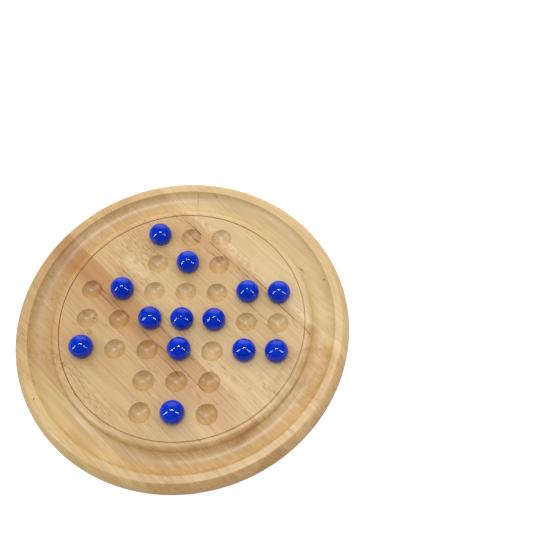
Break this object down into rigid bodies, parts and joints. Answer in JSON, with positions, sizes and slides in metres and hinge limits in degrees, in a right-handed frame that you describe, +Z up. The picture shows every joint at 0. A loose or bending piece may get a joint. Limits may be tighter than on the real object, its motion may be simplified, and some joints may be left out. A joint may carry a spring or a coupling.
{
  "type": "marble solitaire board",
  "caption": "Round solid-wood solitaire board with ball cups in a cross, a marble gutter and a rounded edge, with a game of blue glass marbles in play.",
  "frame": {"origin": "centre of the board's flat underside", "axes": "+X right along the rows of cups, +Y away from the player, +Z up"},
  "size_m": [0.24, 0.24, 0.032],
  "materials": {
    "edge_wood": "satin",
    "heart_wood": "satin",
    "figured_wood": "satin",
    "pale_wood": "satin",
    "marble_glass": "gloss"
  },
  "bodies": {
    "board": {"left_edge_stave": "edge_wood", "heartwood_stave": "heart_wood", "figured_stave": "figured_wood", "right_edge_stave": "pale_wood"},
    "ball_c7": {"marble_c7": "marble_glass"},
    "ball_d6": {"marble_d6": "marble_glass"},
    "ball_b5": {"marble_b5": "marble_glass"},
    "ball_f5": {"marble_f5": "marble_glass"},
    "ball_g5": {"marble_g5": "marble_glass"},
    "ball_c4": {"marble_c4": "marble_glass"},
    "ball_d4": {"marble_d4": "marble_glass"},
    "ball_e4": {"marble_e4": "marble_glass"},
    "ball_a3": {"marble_a3": "marble_glass"},
    "ball_d3": {"marble_d3": "marble_glass"},
    "ball_f3": {"marble_f3": "marble_glass"},
    "ball_g3": {"marble_g3": "marble_glass"},
    "ball_d1": {"marble_d1": "marble_glass"}
  },
  "joints": [
    {"name": "lift_c7", "type": "slide", "parent": "board", "child": "ball_c7", "axis": [0, 0, 1], "range_m": [0, 0.05]},
    {"name": "lift_d6", "type": "slide", "parent": "board", "child": "ball_d6", "axis": [0, 0, 1], "range_m": [0, 0.05]},
    {"name": "lift_b5", "type": "slide", "parent": "board", "child": "ball_b5", "axis": [0, 0, 1], "range_m": [0, 0.05]},
    {"name": "lift_f5", "type": "slide", "parent": "board", "child": "ball_f5", "axis": [0, 0, 1], "range_m": [0, 0.05]},
    {"name": "lift_g5", "type": "slide", "parent": "board", "child": "ball_g5", "axis": [0, 0, 1], "range_m": [0, 0.05]},
    {"name": "lift_c4", "type": "slide", "parent": "board", "child": "ball_c4", "axis": [0, 0, 1], "range_m": [0, 0.05]},
    {"name": "lift_d4", "type": "slide", "parent": "board", "child": "ball_d4", "axis": [0, 0, 1], "range_m": [0, 0.05]},
    {"name": "lift_e4", "type": "slide", "parent": "board", "child": "ball_e4", "axis": [0, 0, 1], "range_m": [0, 0.05]},
    {"name": "lift_a3", "type": "slide", "parent": "board", "child": "ball_a3", "axis": [0, 0, 1], "range_m": [0, 0.05]},
    {"name": "lift_d3", "type": "slide", "parent": "board", "child": "ball_d3", "axis": [0, 0, 1], "range_m": [0, 0.05]},
    {"name": "lift_f3", "type": "slide", "parent": "board", "child": "ball_f3", "axis": [0, 0, 1], "range_m": [0, 0.05]},
    {"name": "lift_g3", "type": "slide", "parent": "board", "child": "ball_g3", "axis": [0, 0, 1], "range_m": [0, 0.05]},
    {"name": "lift_d1", "type": "slide", "parent": "board", "child": "ball_d1", "axis": [0, 0, 1], "range_m": [0, 0.05]}
  ]
}
